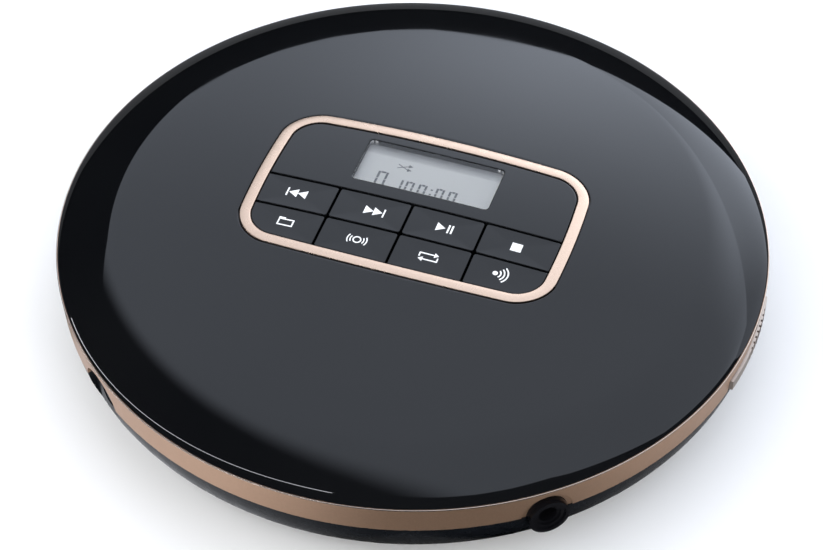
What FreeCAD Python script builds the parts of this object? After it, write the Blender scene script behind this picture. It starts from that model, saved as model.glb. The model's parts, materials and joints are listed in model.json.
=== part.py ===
"""Portable compact disc player: round case, hinged lid with a keypad, disc drive and battery bay.

Millimetres. The origin is the centre of the footprint at the level of the feet, +Z is up, the user
sits on the -Y side and the lid hinge lies on the +Y side. Angles go round +Z from +X.
"""
import FreeCAD, Part
import math
import os
import re
import Sketcher

NODES = []
DIMENSIONS = {
    # case, seen as a turned profile
    "band_radius": 69.55, "band_low_radius": 69.1, "band_foot": 15.2, "band_crest": 21.3,
    "band_bore": 67.6, "rim_level": 20.2, "case_lip_top": 19.35,
    "base_level": 1.0, "base_flat": 53.8, "base_curve": 15.06, "knee_radius": 67.55,
    "knee_level": 9.93, "case_shoulder": 69.0, "shoulder_curve": 16.0, "case_wall": 1.6,
    # lid
    "lid_radius": 69.3, "lid_edge": 21.38, "lid_apex": 28.96, "dome_curve": 667.0,
    "dome_span": 57.0, "crown_drop": 2.44, "shoulder_span": 67.9, "lid_shoulder": 22.65,
    "lid_turn": 23.2, "edge_turn": 9.63, "edge_level": 21.5, "lid_wall": 1.6,
    "liner_level": 22.3, "sheet_wall": 0.8, "liner_radius": 61.5,
    # keypad in the lid
    "frame_half_width": 32.35, "frame_half_depth": 19.4, "frame_bulge": 1.0,
    "frame_shift_x": 0.12, "frame_shift_y": 0.43,
    "frame_corner": 7.5, "frame_width": 2.35, "frame_ledge": 27.3, "panel_gap": 0.15,
    "key_pitch": 14.9, "key_depth": 8.3, "key_gap": 0.45, "key_floor": 25.6,
    "window_half": 14.0, "window_low": 3.4, "window_high": 15.2, "board_wall": 0.8,
    # disc drive
    "deck_level": 17.2, "well_radius": 61.5, "disc_seat": 18.9, "hub_radius": 7.35,
    "hub_top": 21.4, "platter_radius": 13.0, "chassis_level": 15.0, "lens_start": 24.0,
    "sled_travel": 32.0, "rod_radius": 1.2, "rod_half_gap": 13.0, "rod_level": 10.5,
    "rack_line": 17.0, "gear_station": 26.0, "tooth_module": 0.5, "fit_gap": 0.06,
    # battery bay
    "cell_radius": 7.25, "cell_length": 50.5, "cell_level": 9.75, "cell_row": 29.5,
    "cell_pitch": 15.0, "bay_half_width": 28.0, "bay_front": 21.0, "bay_back": 52.7,
    "door_axis_y": 22.9, "door_axis_z": 2.0, "door_wall": 1.2,
    # lid hinge and rim fittings
    "hinge_y": 66.0, "hinge_z": 21.0, "hinge_notch": 23.0, "knuckle_radius": 1.5,
    "pin_radius": 0.75, "socket_angle": -50.8, "socket_level": 15.0, "plug_radius": 1.8,
    "boss_radius": 3.9, "power_angle": -129.2, "power_level": 14.2, "power_arch": 5.8,
    "slot_half": 15.0, "slot_top": 18.4, "slider_travel": 3.0, "slider_middle": -2.8, "rocker_pivot": 68.5,
}
BUTTONS = ("skip_back", "skip_forward", "play_pause", "stop",
           "folder", "anti_shock", "play_mode", "bass_boost")
SMALL_GEAR_TEETH = 14
LARGE_GEAR_TEETH = 40
PINION_TEETH = 10
PINION_BEARING = 20.0
SEAM_ANGLE = 37.0

doc = FreeCAD.newDocument("cd_player")
sheet = doc.addObject("Spreadsheet::Sheet", "spec")
for row, (alias, size) in enumerate(DIMENSIONS.items(), 1):
    sheet.set(f"A{row}", alias)
    sheet.set(f"B{row}", str(size))
    sheet.setAlias(f"B{row}", alias)
doc.recompute()


# ---------------------------------------------------------------- helpers
def full(expression):
    """The expression with every alias written as a cell of the sheet."""
    def cell(match):
        word = match.group(0)
        return "spec." + word if word in DIMENSIONS else word
    return re.sub(r"[a-z_]+", cell, str(expression))


def value(expression):
    return float(sheet.evalExpression(full(expression)))


def bind(thing, name, expression):
    """Tie a property to the sheet."""
    thing.setExpression(name, full(expression))


def place(thing, x=0, y=0, z=0):
    for axis, expression in zip("xyz", (x, y, z)):
        bind(thing, f"Placement.Base.{axis}", expression)
    return thing


def swing(thing, angle):
    """Turn a finished piece about the vertical centre line."""
    thing.Placement = FreeCAD.Placement(FreeCAD.Vector(), FreeCAD.Rotation(FreeCAD.Vector(0, 0, 1), 1))
    bind(thing, "Placement.Rotation.Angle", angle)
    return thing


def node(thing, label):
    thing.Label = label
    NODES.append(thing)
    return thing


def box(x, y, z, name="block"):
    """A block from three (low, high) pairs."""
    thing = doc.addObject("Part::Box", name)
    for side, (low, high) in zip(("Length", "Width", "Height"), (x, y, z)):
        bind(thing, side, f"({high}) - ({low})")
    return place(thing, x[0], y[0], z[0])


def cylinder(radius, start, length, axis="z", name="round"):
    """A cylinder from its start point along +Z, +X or +Y."""
    thing = doc.addObject("Part::Cylinder", name)
    bind(thing, "Radius", radius)
    bind(thing, "Height", length)
    turns = {"z": ((0, 0, 1), 0), "x": ((0, 1, 0), 90), "y": ((1, 0, 0), -90)}
    direction, angle = turns[axis]
    seam_turn = FreeCAD.Rotation(FreeCAD.Vector(0, 0, 1), SEAM_ANGLE)
    thing.Placement.Rotation = FreeCAD.Rotation(FreeCAD.Vector(*direction), angle) * seam_turn
    return place(thing, *start)


def fuse(*things, name="joined"):
    thing = doc.addObject("Part::MultiFuse", name)
    thing.Shapes = list(things)
    return thing


def common(*things, name="shared"):
    thing = doc.addObject("Part::MultiCommon", name)
    thing.Shapes = list(things)
    return thing


def cut(base, *tools, name="cut"):
    """Cut one tool after another, because the tools may overlap each other."""
    for tool in tools:
        thing = doc.addObject("Part::Cut", name)
        thing.Base = base
        thing.Tool = tool
        base = thing
    return base


def group(*things, name="group"):
    thing = doc.addObject("Part::Compound", name)
    thing.Links = list(things)
    return thing


def plane_of(body, role):
    return next(item for item in body.Origin.OriginFeatures if item.Role == role)


def sketch_on(body, role, name):
    sketch = body.newObject("Sketcher::SketchObject", name)
    sketch.AttachmentSupport = (plane_of(body, role), [""])
    sketch.MapMode = "FlatFace"
    return sketch


def arc_between(start, end, radius):
    """The short arc from start to end that bulges to the left of the chord for a positive radius."""
    chord = end - start
    half = chord.Length / 2
    side = FreeCAD.Vector(-chord.y, chord.x, 0).normalize()
    rise = abs(radius) - math.sqrt(radius * radius - half * half)
    middle = (start + end) * 0.5 + side * math.copysign(rise, radius)
    return Part.Arc(start, middle, end)


def closed_outline(sketch, corners, bends=None):
    """Draw a closed outline. corners are expression pairs, bends maps a corner to the radius of its arc."""
    bends = bends or {}
    points = [FreeCAD.Vector(value(x), value(y), 0) for x, y in corners]
    for index, start in enumerate(points):
        end = points[(index + 1) % len(points)]
        if index in bends:
            sketch.addGeometry(arc_between(start, end, value(bends[index])))
        else:
            sketch.addGeometry(Part.LineSegment(start, end))
    first, last = ends_of_edges(sketch, points)
    for index in range(len(points)):
        following = (index + 1) % len(points)
        sketch.addConstraint(Sketcher.Constraint("Coincident", index, last[index],
                                                 following, first[following]))
    for index, corner in enumerate(corners):
        for kind, expression in zip(("DistanceX", "DistanceY"), corner):
            mark = sketch.addConstraint(Sketcher.Constraint(kind, -1, 1, index, first[index],
                                                            value(expression)))
            sketch.setExpression(f"Constraints[{mark}]", full(expression))
    for index, radius in bends.items():
        mark = sketch.addConstraint(Sketcher.Constraint("Radius", index, abs(value(radius))))
        sketch.setExpression(f"Constraints[{mark}]", full(f"abs({radius})"))


def ends_of_edges(sketch, points):
    """Which end of every drawn edge (1 or 2) is its first and its last point."""
    first = []
    for index, point in enumerate(points):
        gap = (sketch.getPoint(index, 1) - point).Length
        first.append(1 if gap < 1e-6 else 2)
    return first, [3 - end for end in first]


def turned(corners, bends=None, name="turning"):
    """A body turned about the centre line from (radius, level) corners."""
    body = doc.addObject("PartDesign::Body", name)
    sketch = sketch_on(body, "XZ_Plane", name + "_profile")
    closed_outline(sketch, corners, bends)
    turn = body.newObject("PartDesign::Revolution", name + "_turn")
    turn.Profile = sketch
    turn.ReferenceAxis = (sketch, ["V_Axis"])
    turn.Angle = 360
    body.Tip = turn
    return body


def plate(corners, low, high, bends=None, name="plate"):
    """A flat plate with the given outline between two levels."""
    body = doc.addObject("PartDesign::Body", name)
    sketch = sketch_on(body, "XY_Plane", name + "_outline")
    closed_outline(sketch, corners, bends)
    pad = body.newObject("PartDesign::Pad", name + "_pad")
    pad.Profile = sketch
    bind(pad, "Length", f"({high}) - ({low})")
    body.Tip = pad
    return place(body, 0, 0, low)


def bowed_prism(inset, low, high, name="bowed"):
    """The keypad outline, a rounded rectangle with bowed sides, drawn in by an inset."""
    half_x = f"(frame_half_width - frame_bulge - ({inset}))"
    half_y = f"(frame_half_depth - frame_bulge - ({inset}))"
    corners = [(f"{side}{half_x} + frame_shift_x", f"{end}{half_y} + frame_shift_y")
               for side, end in (("", ""), ("-", ""), ("-", "-"), ("", "-"))]
    long_bow = f"-({half_x} * {half_x} + frame_bulge * frame_bulge) / (2 * frame_bulge)"
    short_bow = f"-({half_y} * {half_y} + frame_bulge * frame_bulge) / (2 * frame_bulge)"
    body = plate(corners, low, high, {0: long_bow, 1: short_bow, 2: long_bow, 3: short_bow}, name)
    doc.recompute()
    pad = body.Tip
    upright = [f"Edge{number}" for number, edge in enumerate(pad.Shape.Edges, 1)
               if abs(edge.BoundBox.ZLength - (value(high) - value(low))) < 1e-6
               and edge.BoundBox.XLength < 1e-6]
    rounding = body.newObject("PartDesign::Fillet", name + "_corners")
    rounding.Base = (pad, upright)
    bind(rounding, "Radius", f"frame_corner - ({inset})")
    body.Tip = rounding
    return body


def at_angle(angle, radius):
    """x and y expressions of a point on a circle about the centre line."""
    return (f"({radius}) * cos({angle})", f"({radius}) * sin({angle})")


# ---------------------------------------------------------------- case
def case_solid(inset, top, name):
    """The space inside the case's outer skin, drawn in by an inset, up to a level."""
    return turned(
        [("0", f"base_level + {inset}"), ("base_flat", f"base_level + {inset}"),
         (f"knee_radius - 0.9135 * {inset}", f"knee_level + 0.4068 * {inset}"),
         (f"case_shoulder - {inset}", top), ("0", top)],
        {1: f"-(base_curve - {inset})", 2: "-shoulder_curve"}, name)


def socket_clearance(depth_from):
    """Round way for the headphone socket through the rim."""
    return swing(group(cylinder("boss_radius + 0.1", (depth_from, 0, "socket_level"), 10, "x"),
                      name="socket_way"), "socket_angle")


def power_clearance(depth_from):
    """Arched recess in front of the power socket."""
    return swing(group(cylinder("power_arch", (depth_from, 0, "power_level"), 10, "x"),
                      name="power_way"), "power_angle")


def rim_pocket(half, low, high):
    """A shallow pocket along the band with a floor that follows it."""
    ring = turned([("band_radius - 1.4", low), (80, low), (80, high), ("band_radius - 1.4", high)],
                  name="pocket_ring")
    return common(ring, box((50, 80), (f"-({half})", half), (low, high)))


def hold_ways():
    """Shallow pocket and through slot for the hold slider."""
    tools = (rim_pocket(5.3, 16.5, 19.5), box((60, 75), (-2.5, 2.5), (17.3, 18.7)))
    return [swing(group(tool, name="hold_way"), 140) for tool in tools]


def side_band():
    ring = turned([("band_low_radius", "band_foot"), ("band_radius", "band_crest - 0.2"),
                   ("band_radius - 0.2", "band_crest"), ("band_bore", "band_crest"),
                   ("band_bore", "band_foot")], name="band_ring")
    arch_step = swing(group(cylinder("boss_radius + 1.1", ("band_low_radius - 0.4", 0, "socket_level"),
                                    5, "x"), name="arch_step"), "socket_angle")
    hinge_gap = box(("-hinge_notch", "hinge_notch"), (60, 75), ("hinge_z - 4.6", 30))
    slots = [rim_pocket("slot_half", "band_foot - 1", "slot_top"),
             box((60, 75), ("slider_middle - 2.6", "slider_middle + 2.6 + slider_travel"), (15.9, 17.7)),
             swing(group(box((60, 75), (-8.3, 8.3), (15.85, 19.3)), name="rocker_slot"), 180),
             cylinder(0.6, ("-rocker_pivot", 0, 15.7), 4.4),
             *hold_ways()]
    return node(cut(ring, socket_clearance(60), power_clearance(60), arch_step, hinge_gap, *slots),
                "side_band")


def bottom_case():
    skin = case_solid("0", "band_foot", "case_skin")
    lip = turned([("band_bore - case_wall", "band_foot - 5"), ("band_bore - 0.1", "band_foot - 5"),
                  ("band_bore - 0.1", "case_lip_top"), ("band_bore - case_wall", "case_lip_top")],
                 name="case_lip")
    hollow = case_solid("case_wall", "band_foot + 10", "case_hollow")
    shell = cut(skin, hollow, name="case_shell")
    bay_wall = cut(box(("-bay_half_width - 1.5", "bay_half_width + 1.5"),
                       ("bay_front - 1", "bay_back + 1.2"), ("base_level + 1", "deck_level - 0.1")),
                   box(("-bay_half_width - 0.5", "bay_half_width + 0.5"), ("bay_front", "bay_back + 0.2"),
                       (0, 20)))
    bay_wall = common(bay_wall, case_solid("0.8", "band_foot + 10", "bay_bound"))
    posts = [cylinder(2.2, (x, y, "base_level + 0.8"), "chassis_level - base_level - 1.8")
             for x, y in CHASSIS_POSTS]
    whole = fuse(shell, lip, bay_wall, *posts, name="case_whole")
    screw_ways = []
    for x, y in CASE_POSTS:
        screw_ways.append(cylinder(1.2, (x, y, 0), 6))
        screw_ways.append(cylinder(2.3, (x, y, 0), 2.0))
    tools = [box(("-bay_half_width", "bay_half_width"), ("bay_front", "bay_back"), (0, 3.4)),
             cylinder(0.5, ("-bay_half_width - 1.2", "door_axis_y", "door_axis_z"),
                      "2 * bay_half_width + 2.4", "x"),
             socket_clearance(60), power_clearance("band_bore - 0.25"),
             swing(group(cylinder(3.05, (55, 0, "power_level"), 20, "x"), name="barrel_way"), "power_angle"),
             rim_pocket("slot_half", "band_foot - 0.4", 20),
             box((60, 75), ("slider_middle - 2.6", "slider_middle + 2.6 + slider_travel"), (15.9, 17.7)),
             box((-75, -60), (-8.3, 8.3), (15.85, 20)),
             *hold_ways(),
             common(box(("-hinge_notch", "hinge_notch"), (58, 75), (0, 30)),
                    cylinder(5.0, ("-hinge_notch", "hinge_y", "hinge_z"), "2 * hinge_notch", "x"))]
    return node(cut(whole, *tools, *screw_ways), "bottom_case")


def upper_deck():
    pan = turned([("17", "deck_level"), ("well_radius + 1", "deck_level"),
                  ("well_radius + 1", "case_lip_top"), ("band_bore - 0.1", "case_lip_top"),
                  ("band_bore - 0.1", "rim_level"), ("well_radius", "rim_level"),
                  ("well_radius", "deck_level + sheet_wall"), ("17", "deck_level + sheet_wall")],
                 name="deck_pan")
    posts = [cylinder(2.6, (x, y, 3.2), "deck_level - 3") for x, y in CASE_POSTS]
    ears = []
    for low, high in ((8, 11), (-11, -8)):
        ears.append(cylinder("knuckle_radius", (low, "hinge_y", "hinge_z"), high - low, "x"))
        ears.append(box((low, high), ("well_radius - 1", "hinge_y + 0.2"), ("deck_level - 1.2", "hinge_z")))
    pocket = fuse(cylinder(4.9, ("-hinge_notch", "hinge_y", "hinge_z"), "2 * hinge_notch", "x"),
                  box(("-hinge_notch", "hinge_notch"), ("hinge_y - 4.9", 80), ("hinge_z", 30)))
    pocket_wall = common(
        box(("-hinge_notch + 0.1", "hinge_notch - 0.1"), ("well_radius - 3", "hinge_y"),
            ("deck_level", "deck_level + sheet_wall")),
        case_solid("case_wall + 2", "band_foot + 10", "pocket_bound"))
    notched = cut(fuse(pan, pocket_wall), pocket, name="deck_notched")
    whole = fuse(notched, *posts, *ears, name="deck_whole")
    tools = [box((-9.5, 9.5), (-61, "-lens_start + 9"), (10, 20)),
             cylinder("pin_radius", (-30, "hinge_y", "hinge_z"), 60, "x"),
             box((63.6, 66.6), (-4, 4), (18, 22)),
             cylinder(1.0, (-64.2, 7.5, 18), 5),
             *[cylinder(0.9, (x, y, 3), 9) for x, y in CASE_POSTS]]
    return node(cut(whole, *tools), "upper_deck")


def battery_door():
    opening = box(("-bay_half_width + 0.3", "bay_half_width - 0.3"), ("bay_front + 0.5", "bay_back - 0.3"),
                  (0, 6))
    leaf = cut(common(case_solid("0", "band_foot", "door_skin"), opening),
               case_solid("door_wall", "band_foot", "door_hollow"))
    knuckles = []
    for low in (-27.6, 23.6):
        knuckles.append(cylinder("door_axis_z - base_level", (low, "door_axis_y", "door_axis_z"), 4, "x"))
    ribs = [box((-9, 9), (y, y + 0.8), ("base_level", "base_level + 0.35")) for y in (44, 46, 48)]
    leaf = cut(fuse(leaf, *knuckles), *ribs,
               cylinder("0.5 + fit_gap", (-30, "door_axis_y", "door_axis_z"), 60, "x"))
    return node(leaf, "battery_door")


CASE_POSTS = ((-50, -20), (50, -12), (-50, 16), (50, 14), (0, 56.5))
CHASSIS_POSTS = ((-22, 12), (32, 9), (-22, -46), (24, -50))


def fasteners_and_feet():
    screws = []
    for x, y in CASE_POSTS:
        head = cut(cylinder(2.1, (x, y, 1.2), 0.8), box((x - 1.2, x + 1.2), (y - 0.25, y + 0.25), (1, 1.6)),
                   box((x - 0.25, x + 0.25), (y - 1.2, y + 1.2), (1, 1.6)))
        screws.append(fuse(head, cylinder(0.9, (x, y, 1.9), 9.4)))
    node(group(*screws), "case_screws")
    feet = []
    for x, y in ((-34, -34), (34, -34), (-38, 28), (38, 28)):
        pad = cylinder(5, (x, y, 0), "base_level")
        rounding = doc.addObject("Part::Chamfer", "foot")
        doc.recompute()
        rounding.Base = pad
        low_edge = next(number for number, edge in enumerate(pad.Shape.Edges, 1)
                        if edge.BoundBox.ZMax < 0.01 and edge.BoundBox.XLength > 5)
        rounding.Edges = [(low_edge, 0.3, 0.3)]
        feet.append(rounding)
    node(group(*feet), "rubber_feet")


# ---------------------------------------------------------------- rim fittings
def rim_fittings():
    body = fuse(box((57, 65.4), (-4, 4), (11.6, "deck_level - 0.1")),
                cylinder("boss_radius", (64.5, 0, "socket_level"), 5.8, "x"))
    body = cut(body, cylinder("plug_radius", (57.8, 0, "socket_level"), 20, "x"),
               cylinder("plug_radius + 0.6", (69.5, 0, "socket_level"), 2, "x"),
               cylinder("plug_radius + 1.4", (69.9, 0, "socket_level"), 2, "x"))
    node(swing(body, "socket_angle"), "headphone_socket")
    board = box((50, 63.4), (-8, 8), (10.6, 11.5))
    node(swing(fuse(board, box((51, 55), (4.5, 7.6), (11.5, 13.2)), name="board"), "socket_angle"),
         "socket_board")
    barrel = cut(fuse(box((57, 65.3), (-5, 5), (9.8, "deck_level - 0.1")),
                      cylinder(3.0, (65, 0, "power_level"), 2.2, "x")),
                 cylinder(2.1, (58.5, 0, "power_level"), 20, "x"))
    barrel = fuse(barrel, cylinder(0.8, (58, 0, "power_level"), 8.6, "x"))
    node(swing(barrel, "power_angle"), "power_socket")
    rim_thumb("open_slider", 0, -14.6, 9, (15.5, 18.1), 2.2, 4.0)
    rim_thumb("hold_slider", 140, -5, 3, (16.8, 19.2), 1.2, 2.4)
    volume_rocker()
    node(fuse(box((-65.2, -63.2), (5, 9.5), (14.2, 18.4)), cylinder(0.7, (-64.2, 7.5, 18.2), 2.0)), "lid_switch")


def rim_thumb(label, angle, low, high, levels, stem_half, keeper_half):
    """A sliding thumb piece on the band with a stem through the rim and a keeper behind it."""
    bottom, top = levels
    thumb = common(turned([("band_radius - 1.0", bottom), ("band_radius + 0.3", bottom + 0.2),
                           ("band_radius + 0.3", top - 0.2), ("band_radius - 1.0", top)],
                          name=label + "_ring"),
                   box((60, 75), (low, high), (15, 21)))
    middle = (low + high) / 2
    stem = box((64.8, "band_radius - 0.9"), (middle - stem_half, middle + stem_half),
               (bottom + 0.7, top - 0.7))
    keeper = box((64.7, 65.4), (middle - keeper_half, middle + keeper_half), (bottom + 0.1, top - 0.5))
    ribs = []
    steps = int((high - low - 3) / 1.5)
    for step in range(steps + 1):
        start = middle + (step - steps / 2) * 1.5 - 0.25
        ribs.append(box(("band_radius - 0.05", 75), (start, start + 0.5), (15, 21)))
    return node(swing(cut(fuse(thumb, stem, keeper), *ribs), angle), label)


def volume_rocker():
    bar = common(turned([("band_radius - 3.2", 16.15), ("band_radius + 0.3", 16.15),
                         ("band_radius + 0.3", 19.05), ("band_radius - 3.2", 19.05)], name="rocker_ring"),
                 box((-75, -60), (-8, 8), (15, 21)))
    relief = box((-75, "-band_radius + 0.15"), (-0.8, 0.8), (15, 21))
    node(cut(bar, relief, cylinder("0.6 + fit_gap", ("-rocker_pivot", 0, 15), 6)), "volume_rocker")
    return node(cylinder(0.6, ("-rocker_pivot", 0, 15.7), 4.4), "rocker_pin")


# ---------------------------------------------------------------- lid
def lid_solid(inset, bottom, name, proud="0"):
    """The space under the lid's skin, drawn in by an inset, which also does away with the curved edge."""
    shoulder = (f"shoulder_span - 0.64 * {inset}", f"lid_shoulder - 0.77 * {inset}")
    edge = [(shoulder[0], bottom)]
    bends = {}
    if inset == "0":
        edge = [("lid_radius", bottom), ("lid_radius", "edge_level")]
        bends = {2: "-(edge_turn)"}
    bends[len(edge) + 1] = f"-(lid_turn - {inset})"
    bends[len(edge) + 2] = f"-(dome_curve - {inset})"
    return turned([("0", bottom), *edge, shoulder,
                   ("dome_span", f"lid_apex - crown_drop - {inset} + {proud}"),
                   ("0", f"lid_apex - {inset} + {proud}")], bends, name)


def lid_cover():
    skin = lid_solid("0", "lid_edge", "lid_skin")
    shell = cut(skin, lid_solid("lid_wall", "lid_edge - 1", "lid_hollow"), name="lid_shell")
    bosses = [common(cylinder(2.4, (*at_angle(angle, 59), "liner_level + sheet_wall"), 10),
                     lid_solid("0.8", "lid_edge", "boss_bound")) for angle in (45, 135, 225, 315)]
    knuckles = []
    for low, high in ((4, 7.7), (11.3, 14.8), (-7.7, -4), (-14.8, -11.3)):
        knuckles.append(cylinder("knuckle_radius", (low, "hinge_y", "hinge_z"), f"{high} - ({low})", "x"))
    skirt = common(turned([("lid_radius - 1.7", "hinge_z - 4.2"), ("band_radius - 0.5", "hinge_z - 4.2"),
                           ("band_radius - 0.1", "lid_edge - 0.1"), ("lid_radius - 0.5", "lid_edge + 0.2"),
                           ("lid_radius - 1.7", "lid_edge + 0.2")], name="skirt_ring"),
                   box(("-hinge_notch + 0.35", "hinge_notch - 0.35"), (60, 75), (10, 30)),
                   cylinder(4.6, (-40, "hinge_y", "hinge_z"), 80, "x"))
    hook = fuse(box((63.9, 65.1), (-2, 2), (18.6, 22.5)), box((63.9, 65.9), (-2, 2), (18.0, 18.8)))
    hook_root = common(box((63.9, 67.5), (-2, 2), (20.6, 23)), lid_solid("0.5", "lid_edge", "hook_bound"))
    whole = fuse(shell, skirt, *bosses, *knuckles, hook, hook_root, name="lid_whole")
    ledge = bowed_prism("-0.12", "frame_ledge", 32, "frame_pocket")
    opening = bowed_prism("frame_width - 0.1", 20, 32, "keypad_opening")
    ear_ways = [fuse(cylinder("knuckle_radius + 0.3", (low, "hinge_y", "hinge_z"), 3.6, "x"),
                     box((low, low + 3.6), ("hinge_y - 4", "hinge_y + 6"), ("hinge_z - 5", "hinge_z")))
                for low in (7.7, -11.3)]
    screw_ways = [cylinder(0.8, (*at_angle(angle, 59), 22), 3.2) for angle in (45, 135, 225, 315)]
    bore = cylinder("pin_radius + fit_gap", (-30, "hinge_y", "hinge_z"), 60, "x")
    return node(cut(whole, ledge, opening, bore, *ear_ways, *screw_ways), "lid_cover")


def lid_inside():
    liner = cylinder("liner_radius", (0, 0, "liner_level"), "sheet_wall")
    ways = [cylinder(1.0, (*at_angle(angle, 59), 20), 5) for angle in (45, 135, 225, 315)]
    node(cut(liner, *ways), "lid_liner")
    screws = []
    for angle in (45, 135, 225, 315):
        x, y = at_angle(angle, 59)
        screws.append(fuse(cylinder(1.9, (x, y, "liner_level - 0.9"), 0.9),
                           cylinder(0.8, (x, y, "liner_level - 0.5"), 3.4)))
    node(group(*screws), "lid_screws")


def keypad():
    """Frame, display and eight keys, all trimmed to the lid's dome."""
    frame = cut(bowed_prism("0", "frame_ledge", 32, "frame_outer"),
                bowed_prism("frame_width", 20, 33, "frame_inner"))
    node(common(frame, lid_solid("0", "lid_edge", "frame_dome", "0.18")), "control_frame")
    seat = "liner_level + sheet_wall"
    face = bowed_prism("frame_width + panel_gap", 26.8, 32, "panel_outline")
    face = common(face, box((-40, 40), ("key_gap / 2", 40), (20, 33)), lid_solid("0", 20, "panel_dome"))
    posts = [cylinder(1.3, (x, 9, f"{seat} + board_wall"), 3.5) for x in (-21, 21)]
    window = box(("-window_half", "window_half"), ("window_low", "window_high"), (20, 33))
    node(cut(fuse(face, *posts), window), "display_panel")
    glass = box(("-window_half + 0.05", "window_half - 0.05"), ("window_low + 0.05", "window_high - 0.05"),
                (27.3, 33))
    node(common(glass, lid_solid("0", 20, "lens_dome")), "display_lens")
    node(fuse(box((-15.5, 15.5), (2.2, 16.2), (25.2, 26.0)), box((-14.6, 14.6), (2.8, 15.9), (26.0, 26.7))),
         "lcd_module")
    node(group(box((-14, 14), (2.6, 4.4), (f"{seat} + board_wall", 25.2)),
               box((-14, 14), (14, 15.8), (f"{seat} + board_wall", 25.2))), "lcd_connector")
    board = common(box((-31, 31), (-18, 17.5), (seat, f"{seat} + board_wall")),
                   cylinder(34, (0, 0, 20), 10))
    node(board, "keypad_board")
    switches = []
    for column, line, label in key_places():
        x, y = key_centre(column, line)
        foot = f"{seat} + board_wall"
        switches.append(fuse(box((f"{x} - 2.2", f"{x} + 2.2"), (f"{y} - 2.2", f"{y} + 2.2"),
                                 (foot, f"{foot} + 0.8")),
                             cylinder(1.1, (x, y, f"{foot} + 0.8"), 0.3)))
        node(key(column, line, label), label + "_button")
    node(group(*switches), "tact_switches")


def key_places():
    return [(index % 4, index // 4, label) for index, label in enumerate(BUTTONS)]


def key_centre(column, line):
    return f"({column} - 1.5) * key_pitch * 0.98", f"-({line} + 0.5) * key_depth"


def key(column, line, label):
    """One key: a cap in its cell, with a hidden flange under the frame and a short stem."""
    wide = "40"
    x_low = f"({column} - 2) * key_pitch + key_gap / 2" if column else "-" + wide
    x_high = f"({column} - 1) * key_pitch - key_gap / 2" if column < 3 else wide
    y_high = f"-{line} * key_depth - key_gap / 2"
    y_low = "-key_depth + key_gap / 2" if line == 0 else "-" + wide
    cell = box((x_low, x_high), (y_low, y_high), ("key_floor", 32), label + "_cell")
    cap = common(cell, bowed_prism("frame_width + panel_gap", "key_floor", 33, label + "_rim"),
                 lid_solid("0", 20, label + "_dome"))
    reach = f"{y_high} + 0.8" if line == 0 else y_high
    tray = box((x_low, x_high), (y_low, reach), ("key_floor", "key_floor + 0.5"), label + "_tray")
    flange = common(tray, bowed_prism("frame_width - 0.6", 20, 33, label + "_lip"))
    return fuse(cap, flange, name=label + "_key")


def hinge_pins():
    return node(group(*[cylinder("pin_radius", (low, "hinge_y", "hinge_z"), 12, "x") for low in (3.4, -15.4)]),
                "hinge_pins")


# ---------------------------------------------------------------- disc drive
def gear_face(teeth, module, low, high):
    """A spur gear with straight-flanked teeth, its first tooth centred on +X."""
    pitch = teeth * module / 2
    levels = ((pitch - 1.2 * module, 0.33), (pitch, 0.225), (pitch + 0.85 * module, 0.105))
    step = 2 * math.pi / teeth
    points = []
    for tooth in range(teeth):
        for side, order in ((-1, levels), (1, levels[::-1])):
            for radius, width in order:
                angle = (tooth + side * width) * step
                points.append(FreeCAD.Vector(radius * math.cos(angle), radius * math.sin(angle), low))
    face = Part.Face(Part.makePolygon(points + points[:1]))
    return face.extrude(FreeCAD.Vector(0, 0, high - low))


def feature(shape, x, y, turn_angle, label):
    thing = doc.addObject("Part::Feature", label)
    thing.Shape = shape
    thing.Placement = FreeCAD.Placement(FreeCAD.Vector(x, y, 0),
                                        FreeCAD.Rotation(FreeCAD.Vector(0, 0, 1), turn_angle))
    return node(thing, label)


def gear_train():
    module = value("tooth_module")
    small_pitch = SMALL_GEAR_TEETH * module / 2
    gear_x = value("rack_line") + small_pitch
    gear_y = -value("gear_station")
    reach = (LARGE_GEAR_TEETH + PINION_TEETH) * module / 2
    bearing = math.radians(PINION_BEARING)
    pinion = (gear_x + reach * math.cos(bearing), gear_y + reach * math.sin(bearing))
    upper = gear_face(SMALL_GEAR_TEETH, module, 6.5, 9.2)
    lower = gear_face(LARGE_GEAR_TEETH, module, 5.6, 6.6)
    upper.rotate(FreeCAD.Vector(), FreeCAD.Vector(0, 0, 1), 180.0 + 180.0 / SMALL_GEAR_TEETH)
    lower.rotate(FreeCAD.Vector(), FreeCAD.Vector(0, 0, 1), PINION_BEARING)
    bore = Part.makeCylinder(1.0 + value("fit_gap"), 10, FreeCAD.Vector(0, 0, 3))
    feature(lower.fuse(upper).cut(bore).removeSplitter(), gear_x, gear_y, 0, "drive_gear")
    teeth = gear_face(PINION_TEETH, module, 5.3, 6.9)
    teeth.rotate(FreeCAD.Vector(), FreeCAD.Vector(0, 0, 1), PINION_BEARING + 180.0 + 180.0 / PINION_TEETH)
    shaft = Part.makeCylinder(0.75, 3.4, FreeCAD.Vector(0, 0, 5.5))
    feature(teeth.fuse(shaft), *pinion, 0, "motor_pinion")
    motor = cut(fuse(cylinder(7.5, (*pinion, 8.2), "chassis_level - 8.2"),
                     cylinder(2.6, (*pinion, 7.7), 0.6)),
                cylinder("0.75 + fit_gap", (*pinion, 7), 2.2))
    node(motor, "sled_motor")
    post = fuse(cylinder(1.0, (gear_x, gear_y, 5.2), "chassis_level - 5.2"),
                cylinder(2.0, (gear_x, gear_y, 9.5), "chassis_level - 9.5"),
                cylinder(1.6, (gear_x, gear_y, 4.9), 0.4))
    node(post, "gear_post")
    return rack(module, gear_y)


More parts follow.
